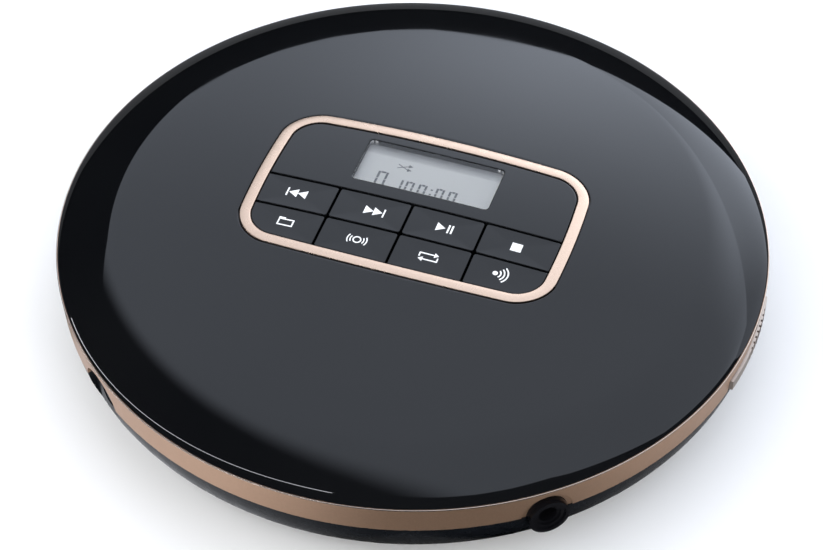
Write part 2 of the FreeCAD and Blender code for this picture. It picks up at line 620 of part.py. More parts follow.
def rack(module, gear_y):
    """Rack along the sled's side, in mesh with the small gear."""
    pitch = math.pi * module
    line = value("rack_line")
    low = -value("lens_start") - 5
    high = low + value("sled_travel") + 5.5
    first = math.ceil((low + 0.6 - gear_y) / pitch)
    last = math.floor((high - 0.6 - gear_y) / pitch)
    points = [FreeCAD.Vector(line - 1.7, low, 7.5), FreeCAD.Vector(line - 0.62, low, 7.5)]
    for number in range(first, last + 1):
        centre = gear_y + number * pitch
        for offset, out in ((-0.60, -0.62), (-0.17, 0.42), (0.17, 0.42), (0.60, -0.62)):
            points.append(FreeCAD.Vector(line + out, centre + offset, 7.5))
    points += [FreeCAD.Vector(line - 0.62, high, 7.5), FreeCAD.Vector(line - 1.7, high, 7.5)]
    thing = doc.addObject("Part::Feature", "rack_teeth")
    thing.Shape = Part.Face(Part.makePolygon(points + points[:1])).extrude(FreeCAD.Vector(0, 0, 1.5))
    return thing


def drive():
    levels = ("chassis_level", "chassis_level + 1")
    outline = common(fuse(box((-27, 27), (-62.8, 17), levels), box((20, 40), (-34, 17), levels)),
                     cylinder(64, (0, 0, 10), 10))
    bearers = []
    for low, high in ((-62.8, -61.7), (-13, -11.4)):
        for centre in ("-rod_half_gap", "rod_half_gap"):
            bearers.append(box((f"{centre} - 2", f"{centre} + 2"), (low, high), (8.7, "chassis_level + 0.5")))
    slot = box((-10, 10), (-61, "-lens_start + 9"), (5, 20))
    rods = [(f"{side} * rod_half_gap", -62.7, "rod_level") for side in (-1, 1)]
    holes = [cylinder(3.4, (0, 0, 10), 10), *[cylinder("rod_radius", rod, 51.2, "y") for rod in rods],
             *[cylinder(1.5, (x, y, 10), 10) for x, y in CHASSIS_POSTS]]
    node(cut(fuse(outline, *bearers), slot, *holes), "drive_chassis")
    node(group(*[cylinder("rod_radius", rod, 51.2, "y") for rod in rods]), "guide_rods")
    node(group(*[cut(cylinder(3.4, (x, y, "chassis_level - 1"), 1.0), cylinder(1.2, (x, y, 10), 10))
                 for x, y in CHASSIS_POSTS]), "chassis_dampers")
    node(group(*[fuse(cylinder(2.3, (x, y, "chassis_level + 1"), 0.7),
                      cylinder(1.1, (x, y, "chassis_level - 0.9"), 2)) for x, y in CHASSIS_POSTS]),
         "chassis_screws")
    motor = cut(fuse(cylinder(9, (0, 0, 7.4), "chassis_level - 7.4"),
                     cylinder(3.3, (0, 0, "chassis_level - 0.1"), 0.9)), cylinder("1.0 + fit_gap", (0, 0, 9), 10))
    node(motor, "spindle_motor")
    turntable()
    sled(gear_train())


def turntable():
    hub = turned([("0", 9.2), ("1.0", 9.2), ("1.0", "disc_seat - 2.1"), ("platter_radius - 0.8", "disc_seat - 2.1"),
                  ("platter_radius", "disc_seat - 1.3"), ("platter_radius", "disc_seat"),
                  ("hub_radius + 1.2", "disc_seat"), ("hub_radius + 1.2", "disc_seat - 0.4"),
                  ("hub_radius", "disc_seat - 0.4"), ("hub_radius", "hub_top - 0.8"),
                  ("hub_radius - 1.4", "hub_top"), ("0", "hub_top")], name="hub_turning")
    ball_ways = []
    for number in range(3):
        way = cylinder(1.3, (3.6, 0, "disc_seat + 1.35"), 4.5, "x")
        ball_ways.append(swing(group(way, name="ball_way"), 90 + 120 * number))
        ball = doc.addObject("Part::Sphere", "ball")
        bind(ball, "Radius", 1.2)
        radius = "hub_radius - 0.75"
        place(ball, *at_angle(90 + 120 * number, radius), "disc_seat + 1.35")
        node(ball, f"clamp_ball_{number + 1}")
    node(cut(hub, *ball_ways, cylinder(2.2, (0, 0, "hub_top - 0.5"), 1)), "turntable")


def sled(teeth):
    lens_y = "-lens_start"
    body = box((-16, 16), (f"{lens_y} - 5.2", f"{lens_y} + 5.2"), (7.6, 12.0))
    bearing = box((10.4, 16), (f"{lens_y} - 5.2", f"{lens_y} + 10"), (7.6, 13.2))
    yokes = [box((-4.2, 4.2), (f"{lens_y} {low}", f"{lens_y} {high}"), (11.5, 15.6))
             for low, high in (("- 5.0", "- 4.0"), ("+ 4.0", "+ 5.0"))]
    bores = [cylinder("rod_radius + fit_gap", (f"{side} * rod_half_gap", -80, "rod_level"), 100, "y")
             for side in (-1, 1)]
    window = cylinder(3.0, (0, lens_y, 9.5), 10)
    node(cut(fuse(body, bearing, *yokes, teeth), *bores, window), "pickup_sled")
    holder = cut(box((-4, 4), (f"{lens_y} - 3.3", f"{lens_y} + 3.3"), (12.6, 16.5)),
                 cylinder(1.9, (0, lens_y, 12), 6))
    node(holder, "lens_holder")
    lens = common(cylinder(1.9, (0, lens_y, 15.5), 1.5), lens_ball(lens_y))
    node(lens, "objective_lens")


def lens_ball(lens_y):
    ball = doc.addObject("Part::Sphere", "lens_curve")
    bind(ball, "Radius", 2.6)
    return place(ball, 0, lens_y, 14.4)


# ---------------------------------------------------------------- electronics and cells
def electronics():
    board = common(cylinder(46.5, (0, 0, 3.4), 1.0), box((-60, 60), (-60, 19.6), (3, 5)))
    node(cut(board, *[cylinder(2.5, (x, y, 3), 3) for x, y in CHASSIS_POSTS]), "main_board")
    chips = []
    for x, y, width, depth in ((-34, -14, 12, 12), (-36, 4, 8, 6), (-15, 6, 6, 5), (40, 4, 8, 6), (-33, -28, 7, 5)):
        chips.append(box((x - width / 2, x + width / 2), (y - depth / 2, y + depth / 2), (4.4, 5.6)))
    for x, y in ((-22, -8), (-42, 12), (42, -4)):
        chips.append(cylinder(2.0, (x, y, 4.4), 5.0))
    node(group(*chips), "board_chips")


def power():
    contacts = []
    springs = []
    for number in range(2):
        y = f"cell_row + {number} * cell_pitch"
        positive = 1 if number == 0 else -1
        can = cylinder("cell_radius", ("-cell_length / 2", y, "cell_level"), "cell_length - 1", "x")
        nub = cylinder(2.7, ("cell_length / 2 - 1", y, "cell_level"), 1, "x")
        cell = fuse(can, nub, name="cell")
        if positive < 0:
            cell.Placement = FreeCAD.Placement(FreeCAD.Vector(), FreeCAD.Rotation(FreeCAD.Vector(0, 0, 1), 180))
            bind(cell, "Placement.Base.y", f"2 * ({y})")
        node(cell, f"battery_cell_{number + 1}")
        for side in (-1, 1):
            x = ("bay_half_width", "bay_half_width + 0.5") if side > 0 else ("-bay_half_width - 0.5", "-bay_half_width")
            contacts.append(box(x, (f"{y} - 5", f"{y} + 5"), ("cell_level - 5", "cell_level + 5")))
        for turn in range(4):
            ring = doc.addObject("Part::Torus", "turn")
            bind(ring, "Radius1", 2.4 + 0.45 * turn)
            bind(ring, "Radius2", 0.4)
            ring.Placement.Rotation = FreeCAD.Rotation(FreeCAD.Vector(0, 1, 0), 90)
            place(ring, f"{-positive} * (cell_length / 2 + 0.4 + {turn} * 0.62)", y, "cell_level")
            springs.append(ring)
    node(group(*contacts), "battery_contacts")
    node(group(*springs), "battery_springs")
    node(group(*[cylinder(0.5, (low, "door_axis_y", "door_axis_z"), 5, "x") for low in (-29.0, 24.0)]),
         "door_pins")


def check_and_write():
    doc.recompute()
    bad = [thing.Name for thing in doc.Objects if {"Invalid", "Error"} & set(thing.State)]
    if bad:
        raise RuntimeError("failed objects: " + ", ".join(bad))
    broken = [thing.Label for thing in NODES
              if thing.Shape.isNull() or not thing.Shape.isValid() or not thing.Shape.Solids]
    if broken:
        raise RuntimeError("bad shapes: " + ", ".join(broken))
    os.makedirs("parts", exist_ok=True)
    for thing in NODES:
        thing.Shape.exportStep(f"parts/{thing.Label}.step")
        print(f"{thing.Label:22s} solids {len(thing.Shape.Solids):2d} volume {thing.Shape.Volume:9.1f}")


bottom_case()
side_band()
upper_deck()
battery_door()
fasteners_and_feet()
rim_fittings()
lid_cover()
lid_inside()
keypad()
hinge_pins()
drive()
electronics()
power()
check_and_write()
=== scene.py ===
"""Looks of the portable compact disc player: skins, keypad, printed marks, finishes, light and camera.

Sizes are in millimetres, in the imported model's frame, and turn into metres when a mesh is made.
"""
import json
import math

import bpy
import numpy as np
from mathutils import Matrix, Vector


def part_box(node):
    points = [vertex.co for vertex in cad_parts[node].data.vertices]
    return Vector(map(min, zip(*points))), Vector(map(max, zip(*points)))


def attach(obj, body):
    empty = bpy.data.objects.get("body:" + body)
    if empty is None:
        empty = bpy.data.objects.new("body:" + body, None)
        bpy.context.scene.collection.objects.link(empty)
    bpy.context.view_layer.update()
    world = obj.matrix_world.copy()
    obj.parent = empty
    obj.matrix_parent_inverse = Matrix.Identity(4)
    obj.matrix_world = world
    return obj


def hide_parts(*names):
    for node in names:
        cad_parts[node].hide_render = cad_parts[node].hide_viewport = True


MM = 0.001
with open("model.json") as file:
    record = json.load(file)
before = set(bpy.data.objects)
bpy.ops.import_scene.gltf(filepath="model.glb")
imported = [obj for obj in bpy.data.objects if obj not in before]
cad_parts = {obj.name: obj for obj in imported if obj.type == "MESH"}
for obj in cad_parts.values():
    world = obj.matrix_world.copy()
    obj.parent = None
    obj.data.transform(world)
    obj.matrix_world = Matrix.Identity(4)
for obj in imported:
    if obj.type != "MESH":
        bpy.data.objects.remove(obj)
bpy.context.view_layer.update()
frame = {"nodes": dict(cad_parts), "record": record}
NODES = frame["nodes"]


def low(node, axis):
    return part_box(node)[0][axis] / MM


def high(node, axis):
    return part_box(node)[1][axis] / MM


# ---------------------------------------------------------------- sizes
X, Y, Z = 0, 1, 2
LID_RADIUS = 69.3
LID_BOTTOM = 21.36
EDGE_LEVEL = 21.5
SHOULDER = (67.9, 22.65)
EDGE_TURN = 9.63
DOME_SPAN = 57.0
DOME_CURVE = 667.0
SHOULDER_TURN = 23.2
FRAME_PROUD = 0.18
KEYPAD_CENTRE = (0.12, 0.43)
KEYPAD_HALF = (32.35, 19.4)
KEYPAD_BOW = 1.0
KEYPAD_CORNER = 7.5
RING_WIDTH = 2.35
PANEL_INSET = RING_WIDTH + 0.15
LID_APEX = high("display_panel", Z)
KEY_PITCH = 14.9
KEY_DEPTH = 8.3
KEY_GAP = 0.45
KEY_FLOOR = low("play_pause_button", Z)
WINDOW_HALF = high("display_lens", X) + 0.05
WINDOW_LOW = low("display_lens", Y) - 0.05
WINDOW_HIGH = high("display_lens", Y) + 0.05
BAND_CREST = high("side_band", Z)
BAND_RADIUS = high("side_band", X)
HINGE_HALF = 23.0
PRINT_HEIGHT = 0.02
ROUND = 384


# ---------------------------------------------------------------- mesh helpers
def mesh_piece(name, points, faces, body, material, smooth=True):
    """A mesh object from points in millimetres, riding on a body."""
    mesh = bpy.data.meshes.new(name)
    mesh.from_pydata([(x * MM, y * MM, z * MM) for x, y, z in points], [], faces)
    mesh.update()
    piece = bpy.data.objects.new(name, mesh)
    bpy.context.scene.collection.objects.link(piece)
    mesh.materials.append(material)
    if smooth:
        mesh.shade_smooth()
        mesh.set_sharp_from_angle(angle=math.radians(40))
    if body:
        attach(piece, body)
    return piece


def lofted(rings, closed=False, cap_start=False, cap_end=False):
    """Points and faces of a skin through rings with the same number of points each."""
    count = len(rings[0])
    points = [tuple(point) for ring in rings for point in ring]
    faces = []
    steps = len(rings) if closed else len(rings) - 1
    for step in range(steps):
        here = step * count
        there = ((step + 1) % len(rings)) * count
        for index in range(count):
            after = (index + 1) % count
            faces.append((here + index, here + after, there + after, there + index))
    if cap_start:
        faces.append(tuple(range(count - 1, -1, -1)))
    if cap_end:
        last = (len(rings) - 1) * count
        faces.append(tuple(range(last, last + count)))
    return points, faces


def circle(radius, level, count=ROUND):
    turns = [2 * math.pi * index / count for index in range(count)]
    return [(radius * math.cos(turn), radius * math.sin(turn), level) for turn in turns]


def arc(start, end, radius, steps):
    """Points after start, up to end, on the short arc that bulges to the left of the chord."""
    chord = (end[0] - start[0], end[1] - start[1])
    length = math.hypot(*chord)
    side = (-chord[1] / length, chord[0] / length)
    back = math.sqrt(radius ** 2 - (length / 2) ** 2)
    centre = ((start[0] + end[0]) / 2 - side[0] * back, (start[1] + end[1]) / 2 - side[1] * back)
    first = math.atan2(start[1] - centre[1], start[0] - centre[0])
    last = math.atan2(end[1] - centre[1], end[0] - centre[0])
    turn = (last - first + math.pi) % (2 * math.pi) - math.pi
    return [(centre[0] + radius * math.cos(first + turn * step / steps),
             centre[1] + radius * math.sin(first + turn * step / steps)) for step in range(1, steps + 1)]


def dome(x, y):
    """Level of the lid's crown."""
    return LID_APEX - DOME_CURVE + math.sqrt(DOME_CURVE ** 2 - x * x - y * y)


# ---------------------------------------------------------------- outlines by distance
def rounded_join(gaps_x, gaps_y, corner):
    """Distance outside a shape with two pairs of sides and rounded corners."""
    across = gaps_x + corner
    along = gaps_y + corner
    outside = np.hypot(np.maximum(across, 0), np.maximum(along, 0))
    return outside + np.minimum(np.maximum(across, along), 0) - corner


def keypad_distance(x, y):
    """Distance outside the bowed outline of the keypad frame."""
    x = x - KEYPAD_CENTRE[0]
    y = y - KEYPAD_CENTRE[1]
    gaps = []
    for reach, other, along, across in ((KEYPAD_HALF[0], KEYPAD_HALF[1], x, y),
                                        (KEYPAD_HALF[1], KEYPAD_HALF[0], y, x)):
        half_chord = other - KEYPAD_BOW
        bend = (half_chord ** 2 + KEYPAD_BOW ** 2) / (2 * KEYPAD_BOW)
        gaps.append(np.hypot(np.abs(along) + bend - reach, across) - bend)
    return rounded_join(gaps[0], gaps[1], KEYPAD_CORNER)


def cell_distance(x, y, cell, corner):
    """Distance outside a rectangle (x low, x high, y low, y high) with rounded corners."""
    gaps_x = np.maximum(cell[0] - x, x - cell[1])
    gaps_y = np.maximum(cell[2] - y, y - cell[3])
    return rounded_join(gaps_x, gaps_y, corner)


def outline(distance, inset, centre, count=ROUND, reach=80.0):
    """Points on rays from the centre where the distance outside is minus the inset."""
    turns = np.arange(count) * 2 * math.pi / count
    near = np.zeros(count)
    far = np.full(count, reach)
    for _ in range(48):
        middle = (near + far) / 2
        outside = distance(centre[0] + middle * np.cos(turns), centre[1] + middle * np.sin(turns)) > -inset
        far = np.where(outside, middle, far)
        near = np.where(outside, near, middle)
    return [(centre[0] + span * math.cos(turn), centre[1] + span * math.sin(turn))
            for span, turn in zip(near, turns)]


def crowned(name, distance, centre, bottom, offset, edge, body, material, count=ROUND, sink=0.0):
    """A slab with a rounded top edge whose top follows the lid's crown, filled in to its centre."""
    rings = [[(x, y, bottom) for x, y in outline(distance, 0, centre, count)]]
    steps = 5
    for step in range(steps + 1):
        turn = math.pi / 2 * step / steps
        inset = edge * (1 - math.cos(turn))
        drop = edge * (1 - math.sin(turn))
        flat = outline(distance, inset, centre, count)
        rings.append([(x, y, dome(x, y) + offset - drop) for x, y in flat])
    last = outline(distance, edge, centre, count)
    shares = (0.99, 0.97, 0.9, 0.8, 0.6, 0.4, 0.2, 0.05)
    for share in shares:
        ring = []
        for x, y in last:
            px = centre[0] + (x - centre[0]) * share
            py = centre[1] + (y - centre[1]) * share
            ring.append((px, py, dome(px, py) + offset - sink * (1 - share ** 2)))
        rings.append(ring)
    points, faces = lofted(rings, cap_start=True, cap_end=True)
    return mesh_piece(name, points, faces, body, material)


def banded(name, distance_out, distance_in, centre, bottom, offset, edge, body, material,
           inset_out=0.0, inset_in=0.0, crown=0.0):
    """A closed ring between two outlines, with rounded top edges, whose top follows the crown."""
    steps = 5
    outer, inner = [], []
    for step in range(steps + 1):
        turn = math.pi / 2 * step / steps
        inset = edge * (1 - math.cos(turn))
        drop = edge * (1 - math.sin(turn))
        outer.append((outline(distance_out, inset_out + inset, centre), drop))
        inner.append((outline(distance_in, inset_in - inset, centre), drop))
    rings = [[(x, y, bottom) for x, y in outer[0][0]]]
    for flat, drop in outer:
        rings.append([(x, y, dome(x, y) + offset - drop) for x, y in flat])
    for share in (0.02, 0.06, 0.2, 0.4, 0.6, 0.8, 0.94, 0.98):
        rise = crown * 4 * share * (1 - share)
        ring = []
        for (ox, oy), (ix, iy) in zip(outer[-1][0], inner[-1][0]):
            px, py = ox + (ix - ox) * share, oy + (iy - oy) * share
            ring.append((px, py, dome(px, py) + offset + rise))
        rings.append(ring)
    for flat, drop in reversed(inner):
        rings.append([(x, y, dome(x, y) + offset - drop) for x, y in flat])
    rings.append([(x, y, bottom) for x, y in inner[0][0]])
    points, faces = lofted(rings, closed=True)
    return mesh_piece(name, points, faces, body, material)


# ---------------------------------------------------------------- finishes
def finish(name, colour, roughness, metallic=0.0, **sockets):
    """A principled material and its shader node."""
    material = bpy.data.materials.new(name)
    material.use_nodes = True
    shader = material.node_tree.nodes["Principled BSDF"]
    shader.inputs["Base Color"].default_value = (*colour, 1)
    shader.inputs["Roughness"].default_value = roughness
    shader.inputs["Metallic"].default_value = metallic
    for socket, amount in sockets.items():
        shader.inputs[socket.replace("_", " ")].default_value = amount
    return material


def noise(material, scale, detail=3.0, stretch=(1, 1, 1)):
    """A noise texture in object space."""
    tree = material.node_tree
    place = tree.nodes.new("ShaderNodeTexCoord")
    mapping = tree.nodes.new("ShaderNodeMapping")
    mapping.inputs["Scale"].default_value = stretch
    texture = tree.nodes.new("ShaderNodeTexNoise")
    texture.inputs["Scale"].default_value = scale
    texture.inputs["Detail"].default_value = detail
    tree.links.new(place.outputs["Object"], mapping.inputs["Vector"])
    tree.links.new(mapping.outputs["Vector"], texture.inputs["Vector"])
    return texture.outputs["Fac"]


def ramp(material, source, stops):
    """A colour ramp from (position, colour) stops."""
    tree = material.node_tree
    node = tree.nodes.new("ShaderNodeValToRGB")
    elements = node.color_ramp.elements
    while len(elements) < len(stops):
        elements.new(0.5)
    for element, (position, colour) in zip(elements, stops):
        element.position = position
        element.color = (*colour, 1)
    tree.links.new(source, node.inputs["Fac"])
    return node.outputs["Color"]


def vary_colour(material, scale, first, second, detail=3.0):
    shader = material.node_tree.nodes["Principled BSDF"]
    colour = ramp(material, noise(material, scale, detail), [(0.35, first), (0.65, second)])
    material.node_tree.links.new(colour, shader.inputs["Base Color"])


def vary_roughness(material, scale, lowest, highest, detail=3.0, stretch=(1, 1, 1)):
    tree = material.node_tree
    spread = tree.nodes.new("ShaderNodeMapRange")
    spread.inputs["From Min"].default_value = 0.3
    spread.inputs["From Max"].default_value = 0.7
    spread.inputs["To Min"].default_value = lowest
    spread.inputs["To Max"].default_value = highest
    tree.links.new(noise(material, scale, detail, stretch), spread.inputs["Value"])
    tree.links.new(spread.outputs["Result"], tree.nodes["Principled BSDF"].inputs["Roughness"])


def grain(material, scale, strength, depth, detail=2.0, stretch=(1, 1, 1)):
    """Fine surface relief."""
    tree = material.node_tree
    bump = tree.nodes.new("ShaderNodeBump")
    bump.inputs["Strength"].default_value = strength
    bump.inputs["Distance"].default_value = depth * MM
    tree.links.new(noise(material, scale, detail, stretch), bump.inputs["Height"])
    tree.links.new(bump.outputs["Normal"], tree.nodes["Principled BSDF"].inputs["Normal"])


def gloss_black():
    material = finish("piano_black", (0.0035, 0.0038, 0.0045), 0.03, Specular_IOR_Level=0.52)
    vary_roughness(material, 60, 0.02, 0.04)
    vary_colour(material, 18, (0.0032, 0.0035, 0.0042), (0.0045, 0.0048, 0.0055))
    return material


def satin_champagne(name, colour, roughness, metallic=1.0):
    material = finish(name, colour, roughness, metallic=metallic)
    shade = tuple(part * 0.95 for part in colour)
    vary_colour(material, 3000, shade, colour, detail=1.0)
    vary_roughness(material, 600, roughness - 0.02, roughness + 0.03)
    grain(material, 6000, 0.012, 0.001)
    return material


def moulded(name, colour, roughness, scale=4200, depth=0.03, strength=0.35):
    """Fine textured moulded plastic."""
    material = finish(name, colour, roughness, Specular_IOR_Level=0.22)
    vary_colour(material, 1500, tuple(part * 0.94 for part in colour), tuple(part * 1.06 for part in colour))
    vary_roughness(material, 500, roughness - 0.06, roughness + 0.06)
    grain(material, scale, strength, depth)
    return material


def brushed(name, colour, roughness, stretch=(1, 1, 12)):
    material = finish(name, colour, roughness, metallic=1.0)
    vary_roughness(material, 700, roughness - 0.08, roughness + 0.08, stretch=stretch)
    vary_colour(material, 400, tuple(part * 0.88 for part in colour), colour)
    grain(material, 2500, 0.12, 0.01, stretch=stretch)
    return material


def clear(name, colour, roughness):
    material = finish(name, colour, roughness, Transmission_Weight=1.0, IOR=1.49)
    vary_roughness(material, 80, roughness, roughness + 0.02)
    return material


def solder_mask():
    """Green board coat over copper tracks."""
    material = finish("board_green", (0.012, 0.09, 0.04), 0.32)
    tree = material.node_tree
    place = tree.nodes.new("ShaderNodeTexCoord")
    tracks = tree.nodes.new("ShaderNodeTexBrick")
    tracks.inputs["Scale"].default_value = 260
    tracks.inputs["Mortar Size"].default_value = 0.035
    tracks.inputs["Color1"].default_value = (0.010, 0.085, 0.036, 1)
    tracks.inputs["Color2"].default_value = (0.012, 0.075, 0.034, 1)
    tracks.inputs["Mortar"].default_value = (0.03, 0.16, 0.07, 1)
    tree.links.new(place.outputs["Object"], tracks.inputs["Vector"])
    tree.links.new(tracks.outputs["Color"], tree.nodes["Principled BSDF"].inputs["Base Color"])
    vary_roughness(material, 300, 0.25, 0.4)
    return material


MATERIALS = {
    "lid_black": gloss_black(),
    # Painted shade: the band's champagne is darker than the ring's to stand in for shade on the band.
    "champagne": satin_champagne("champagne_band_painted_shade", (0.58, 0.37, 0.25), 0.34, 0.82),
    "ring": satin_champagne("champagne_ring", (0.86, 0.64, 0.49), 0.28),
    # Partly painted highlight: the bead is lighter than the band, and also smoother so it catches the lamps.
    "bead": satin_champagne("champagne_bead_painted_highlight", (0.95, 0.78, 0.66), 0.16),
    "case_black": moulded("case_textured", (0.005, 0.006, 0.008), 0.28, scale=1500, depth=0.06, strength=0.6),
    "deck_grey": moulded("deck_matt", (0.075, 0.078, 0.085), 0.5),
    "clear_window": clear("window_clear", (0.97, 0.98, 0.98), 0.03),
    "display": finish("display_glass_painted_shadow", (0.5, 0.52, 0.5), 0.25),
    "board": solder_mask(),
    "component": moulded("component_black", (0.02, 0.02, 0.022), 0.45, depth=0.02),
    "socket_black": moulded("socket_moulded", (0.004, 0.004, 0.005), 0.12, depth=0.004, strength=0.08),
    "thumb_silver": satin_champagne("thumb_satin", (0.55, 0.47, 0.41), 0.32),
    "rubber": moulded("rubber_matt", (0.02, 0.02, 0.02), 0.75, scale=2200, depth=0.05),
    "steel": brushed("steel_plain", (0.62, 0.62, 0.64), 0.28),
    "cell_jacket": brushed("cell_sleeve", (0.10, 0.17, 0.33), 0.3),
    "gear_white": moulded("acetal", (0.74, 0.73, 0.67), 0.38, depth=0.01),
    "turntable_black": moulded("drive_moulded", (0.02, 0.02, 0.022), 0.38),
    "lens_glass": clear("lens_coated", (0.75, 0.82, 1.0), 0.02),
}
PRINT_WHITE = finish("print_white", (0.93, 0.94, 0.95), 0.35)
grain(PRINT_WHITE, 3000, 0.1, 0.01)
vary_colour(PRINT_WHITE, 900, (0.90, 0.91, 0.92), (0.96, 0.97, 0.98))

for row in frame["record"]["subparts"]:
    held = NODES[row["node"]]
    held.data.materials.clear()
    held.data.materials.append(MATERIALS[row["material_slot"]])


# ---------------------------------------------------------------- lid
def lid_profile():
    """Radius and level points of the skin from the crown's border to the rim."""
    start = (DOME_SPAN, dome(DOME_SPAN, 0))
    return [start, *arc(start, SHOULDER, SHOULDER_TURN, 18),
            *arc(SHOULDER, (LID_RADIUS - 0.05, EDGE_LEVEL + 0.05), EDGE_TURN, 8),
            (LID_RADIUS, EDGE_LEVEL - 0.04), (LID_RADIUS - 0.06, LID_BOTTOM)]


def lid_skin():
    """Glossy top of the lid as a thin closed skin over the moulded lid."""
    cover = 0.012
    inside = 0.25
    lip = 0.16
    edge = 0.15
    pocket_depth = 1.0
    pocket = outline(keypad_distance, -lip, (0, 0))
    rings = [[(x, y, dome(x, y) - pocket_depth) for x, y in pocket]]
    for step in range(5):
        turn = math.pi / 2 * step / 4
        flat = outline(keypad_distance, -lip - edge * (1 - math.cos(turn)), (0, 0))
        rings.append([(x, y, dome(x, y) + cover - edge * (1 - math.sin(turn))) for x, y in flat])
    shares = (0.01, 0.03, 0.1, 0.2, 0.35, 0.5, 0.65, 0.8, 0.9)
    border = circle(DOME_SPAN, 0)
    start = outline(keypad_distance, -lip - edge, (0, 0))
    for share in shares:
        ring = []
        for (ax, ay), (bx, by, _) in zip(start, border):
            px, py = ax + (bx - ax) * share, ay + (by - ay) * share
            ring.append((px, py, dome(px, py) + cover))
        rings.append(ring)
    profile = lid_profile()
    rings += [circle(radius + cover, level + cover) for radius, level in profile]
    rings.append(circle(profile[-1][0] - inside, profile[-1][1]))
    rings += [circle(radius - inside, level - inside) for radius, level in reversed(profile[:-2])]
    points, faces = lofted(rings, closed=True)
    return mesh_piece("lid_skin", points, faces, "lid", MATERIALS["lid_black"])


def key_cell(column, line):
    """Room of a key between its neighbours."""
    far = 60.0
    x_low = (column - 2) * KEY_PITCH + KEY_GAP / 2 if column else -far
    x_high = (column - 1) * KEY_PITCH - KEY_GAP / 2 if column < 3 else far
    y_high = -line * KEY_DEPTH - KEY_GAP / 2
    y_low = -KEY_DEPTH + KEY_GAP / 2 if line == 0 else -far
    return x_low, x_high, y_low, y_high


def key_centre(column, line):
    return (column - 1.5) * KEY_PITCH * 0.97, -(line + 0.5) * KEY_DEPTH + 0.1


BUTTONS = ("skip_back", "skip_forward", "play_pause", "stop",
           "folder", "anti_shock", "play_mode", "bass_boost")


def keys():
    """Glossy key caps with rounded edges in place of the plain ones."""
    for index, label in enumerate(BUTTONS):
        column, line = index % 4, index // 4
        cell = key_cell(column, line)

        def distance(x, y, cell=cell):
            return np.maximum(cell_distance(x, y, cell, 0.5), keypad_distance(x, y) + PANEL_INSET)

        cap = crowned(label + "_cap", distance, key_centre(column, line), KEY_FLOOR, 0.0, 0.14,
                      label + "_key", MATERIALS["lid_black"], count=256, sink=0.06)
        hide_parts(label + "_button")


def keypad_frame():
    ring = banded("keypad_ring", keypad_distance, keypad_distance, (0, 0), low("control_frame", Z),
                  FRAME_PROUD, 0.22, "lid", MATERIALS["ring"],
                  inset_out=0.06, inset_in=RING_WIDTH, crown=0.04)
    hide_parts("control_frame")


def display():
    """Black panel with a clear window over the grey display."""
    middle = (0, (WINDOW_LOW + WINDOW_HIGH) / 2)
    window = (-WINDOW_HALF, WINDOW_HALF, WINDOW_LOW, WINDOW_HIGH)

    def outside(x, y):
        return np.maximum(keypad_distance(x, y) + PANEL_INSET, KEY_GAP / 2 - y + 0 * x)

    def hole(x, y):
        return cell_distance(x, y, window, 0.8)

    panel = banded("display_bezel", outside, hole, middle, 26.8, 0.0, 0.2, "lid", MATERIALS["lid_black"])
    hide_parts("display_panel")
    lens = crowned("display_window", hole, middle, 27.3, -0.08, 0.12, "lid", MATERIALS["clear_window"],
                   count=256)
    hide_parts("display_lens")


def band_bead():
    """A thin champagne bead round the band's crest, painted lighter than the band as a highlight along the
    edge, open at the hinge.
    """
    half_gap = math.degrees(math.asin(HINGE_HALF / BAND_RADIUS)) + 0.3
    thick = 0.13
    span, level = BAND_RADIUS - 0.09, BAND_CREST - 0.09
    count = 12
    rings = []
    steps = 360
    for step in range(steps + 1):
        turn = math.radians(90 + half_gap + (360 - 2 * half_gap) * step / steps)
        ring = []
        for corner in range(count):
            lean = 2 * math.pi * corner / count
            reach = span + thick * math.cos(lean)
            ring.append((reach * math.cos(turn), reach * math.sin(turn), level + thick * math.sin(lean)))
        rings.append(ring)
    points, faces = lofted(rings, cap_start=True, cap_end=True)
    bead = mesh_piece("band_bead", points, faces, "case", MATERIALS["bead"])


skin = lid_skin()
band_bead()
keypad_frame()
keys()
display()


# ---------------------------------------------------------------- printed marks
def flat_shape(corners, level):
    """A printed shape as a thin plate with a top, a bottom and sides."""
    count = len(corners)
    points = [(x, y, level(x, y) - 0.05) for x, y in corners]
    points += [(x, y, level(x, y) + PRINT_HEIGHT) for x, y in corners]
    faces = [tuple(range(count - 1, -1, -1)), tuple(range(count, 2 * count))]
    for index in range(count):
        after = (index + 1) % count
        faces.append((index, after, count + after, count + index))
    return points, faces


def printed(name, shapes, body, material=PRINT_WHITE, level=dome):
    """One printed mark from several outlines in plan."""
    points, faces = [], []
    for corners in shapes:
        more_points, more_faces = flat_shape(corners, level)
        faces += [tuple(index + len(points) for index in face) for face in more_faces]
        points += more_points
    return mesh_piece(name, points, faces, body, material, smooth=False)


def bar(x_low, x_high, y_low, y_high):
    return [(x_low, y_low), (x_high, y_low), (x_high, y_high), (x_low, y_high)]


def triangle(tip, base, middle, half):
    """A triangle that points along x from its base to its tip."""
    corners = [(base, middle - half), (tip, middle), (base, middle + half)]
    return corners if tip > base else corners[::-1]


def bowed_line(centre, radius, start, end, width, steps=14):
    """A band along an arc, in degrees."""
    turns = [math.radians(start + (end - start) * step / steps) for step in range(steps + 1)]
    outer = [(centre[0] + (radius + width / 2) * math.cos(t), centre[1] + (radius + width / 2) * math.sin(t))
             for t in turns]
    inner = [(centre[0] + (radius - width / 2) * math.cos(t), centre[1] + (radius - width / 2) * math.sin(t))
             for t in turns]
    return outer + inner[::-1]


def skip_mark(x, y, way):
    half = 1.1
    shapes = [triangle(x + way * 0.1, x - way * 1.75, y, half),
              triangle(x + way * 1.9, x + way * 0.1, y, half)]
    edge = x + way * 2.05
    shapes.append(bar(min(edge, edge + way * 0.3), max(edge, edge + way * 0.3), y - half, y + half))
    return shapes


def play_pause_mark(x, y):
    half = 1.1
    return [triangle(x + 0.2, x - 1.6, y, half), bar(x + 0.65, x + 1.0, y - half, y + half),
            bar(x + 1.35, x + 1.7, y - half, y + half)]


